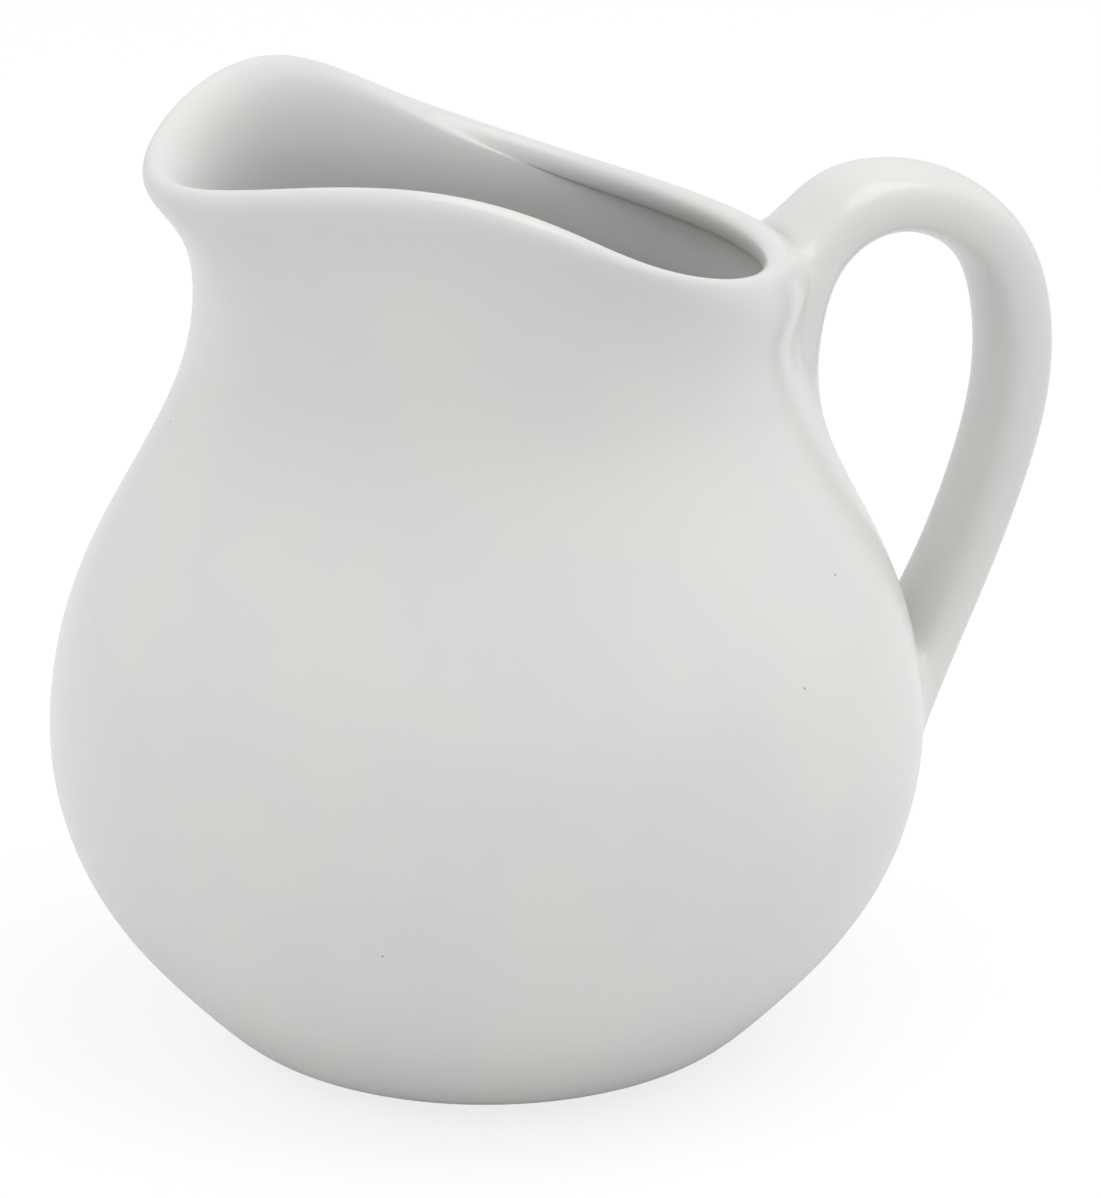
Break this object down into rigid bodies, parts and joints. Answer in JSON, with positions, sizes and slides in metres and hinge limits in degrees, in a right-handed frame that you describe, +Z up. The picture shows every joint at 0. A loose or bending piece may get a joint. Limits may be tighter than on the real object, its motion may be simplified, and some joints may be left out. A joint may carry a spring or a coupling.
{
  "type": "milk jug",
  "caption": "Small pear-shaped milk jug in white glazed porcelain, with a slanted mouth drawn out into a rounded pouring lip and a loop strap handle.",
  "frame": {"origin": "centre of the standing ring, on the table plane and on the pot's axis", "axes": "+Z up along the pot's axis, +X towards the handle, so the pouring lip points along -X, and +Y across"},
  "size_m": [0.1077, 0.09, 0.0988],
  "materials": {
    "porcelain": "glossy transparent glaze over white porcelain, bare on the standing ring"
  },
  "bodies": {
    "root": {"jug": "porcelain"}
  },
  "joints": []
}
